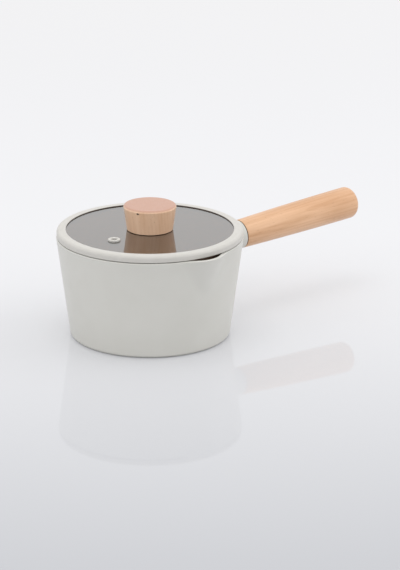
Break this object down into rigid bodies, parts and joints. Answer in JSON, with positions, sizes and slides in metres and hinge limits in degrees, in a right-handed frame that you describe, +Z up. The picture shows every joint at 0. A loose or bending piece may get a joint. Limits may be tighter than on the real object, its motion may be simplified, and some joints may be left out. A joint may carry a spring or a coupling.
{
  "type": "saucepan with glass lid",
  "caption": "Round tapered saucepan with pour spouts, a straight wooden handle and a flat smoke-glass lid with a soft pale rim and a wooden knob.",
  "frame": {"origin": "centre of the pan's flat underside, on the surface it stands on", "axes": "+Z up along the pan's axis, +X along the handle away from the pan, +Y completing a right-handed frame"},
  "size_m": [0.3276, 0.1826, 0.1212],
  "materials": {
    "coated_metal": "satin ceramic coating",
    "steel": "brushed",
    "beech": "satin lacquer",
    "dark_silicone": "matte",
    "pale_silicone": "satin",
    "smoke_glass": "smoke tint, polished",
    "brass": "plain"
  },
  "bodies": {
    "pan": {"pan_body": "coated_metal", "induction_plate": "steel", "handle_gasket": "dark_silicone", "handle": "beech", "handle_bolt": "steel", "bolt_washer": "steel", "end_plug": "beech"},
    "lid": {"lid_glass": "smoke_glass", "lid_rim": "pale_silicone", "vent_grommet": "pale_silicone", "knob": "beech", "knob_insert": "brass", "knob_pad": "dark_silicone", "under_pad": "dark_silicone", "knob_washer": "steel", "knob_screw": "steel"}
  },
  "joints": [
    {"name": "lid_lift", "type": "slide", "parent": "pan", "child": "lid", "axis": [0, 0, 1], "range_m": [0, 0.12]}
  ]
}
